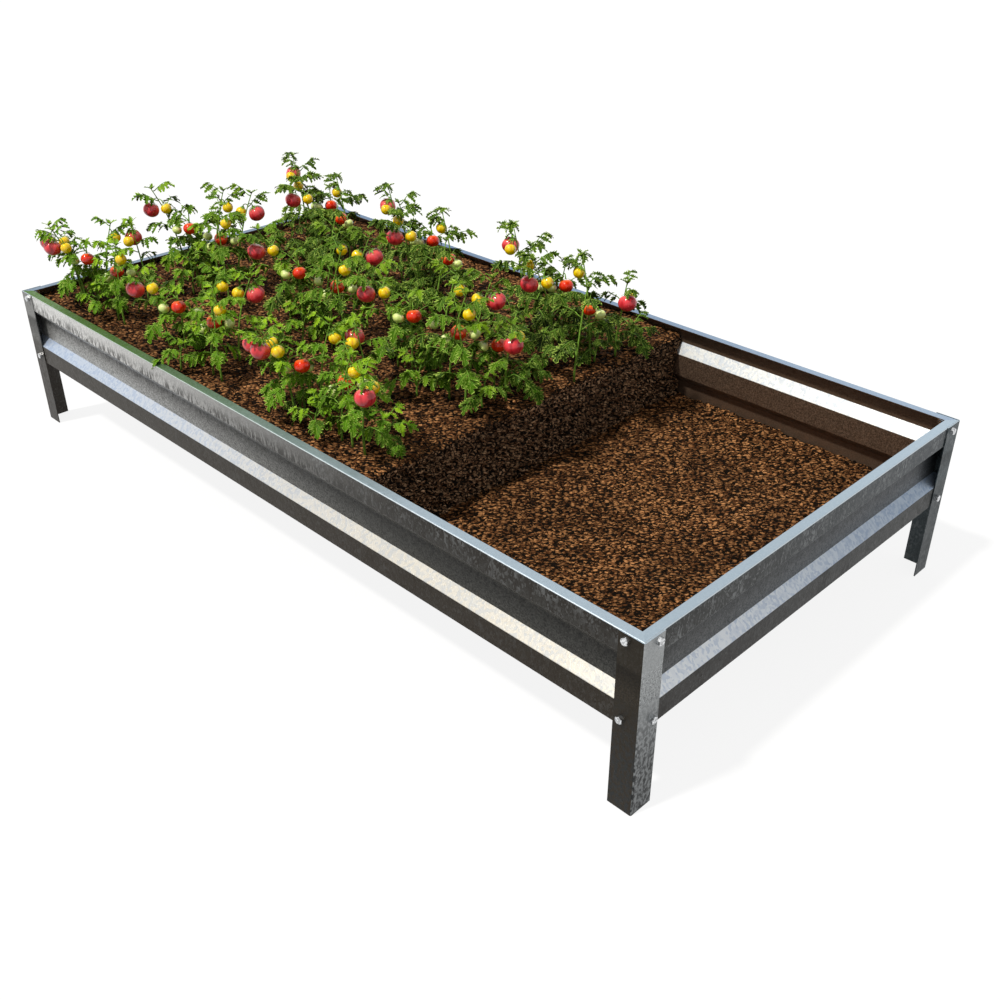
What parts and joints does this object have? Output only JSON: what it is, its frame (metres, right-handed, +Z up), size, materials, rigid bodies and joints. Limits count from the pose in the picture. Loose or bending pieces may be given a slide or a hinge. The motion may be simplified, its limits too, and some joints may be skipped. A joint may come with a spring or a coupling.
{
  "type": "raised garden bed",
  "caption": "Rectangular raised bed of corrugated galvanised steel panels bolted between angle legs, part filled with stepped soil and planted with fruiting tomatoes.",
  "frame": {"origin": "centre of the footprint on the ground the legs stand on", "axes": "+X along the bed's 2 m length towards the end with the low soil, +Y across its 1 m width towards the back, +Z up"},
  "size_m": [2.014, 1.014, 0.6032],
  "materials": {
    "panel_sheet": "hot-dip galvanised sheet with spangle",
    "leg_angle": "hot-dip galvanised angle with spangle",
    "fasteners": "bright zinc plated",
    "soil": "loose bark-like growing medium",
    "plants": "leafy green stems and leaves",
    "tomatoes_pink": "smooth glossy skin",
    "tomatoes_red": "smooth glossy skin",
    "tomatoes_yellow": "smooth glossy skin",
    "tomatoes_green": "smooth glossy skin"
  },
  "bodies": {
    "root": {"bolts_back_left": "fasteners", "bolts_back_right": "fasteners", "bolts_front_left": "fasteners", "bolts_front_right": "fasteners", "corner_leg_back_left": "leg_angle", "corner_leg_back_right": "leg_angle", "corner_leg_front_left": "leg_angle", "corner_leg_front_right": "leg_angle", "long_panel_back": "panel_sheet", "long_panel_front": "panel_sheet", "nuts_back_left": "fasteners", "nuts_back_right": "fasteners", "nuts_front_left": "fasteners", "nuts_front_right": "fasteners", "short_panel_left": "panel_sheet", "short_panel_right": "panel_sheet", "soil_low": "soil", "soil_planted": "soil", "tomato_plants_back_1": "plants", "tomato_plants_back_2": "plants", "tomato_plants_back_3": "plants", "tomato_plants_back_end": "plants", "tomato_plants_front_1": "plants", "tomato_plants_front_2": "plants", "tomato_plants_front_3": "plants", "tomato_plants_front_end": "plants", "tomato_plants_middle_1": "plants", "tomato_plants_middle_2": "plants", "tomato_plants_middle_3": "plants", "tomato_plants_middle_end": "plants", "tomatoes_green": "tomatoes_green", "tomatoes_pink": "tomatoes_pink", "tomatoes_red": "tomatoes_red", "tomatoes_yellow": "tomatoes_yellow", "washers_back_left": "fasteners", "washers_back_right": "fasteners", "washers_front_left": "fasteners", "washers_front_right": "fasteners"}
  },
  "joints": []
}
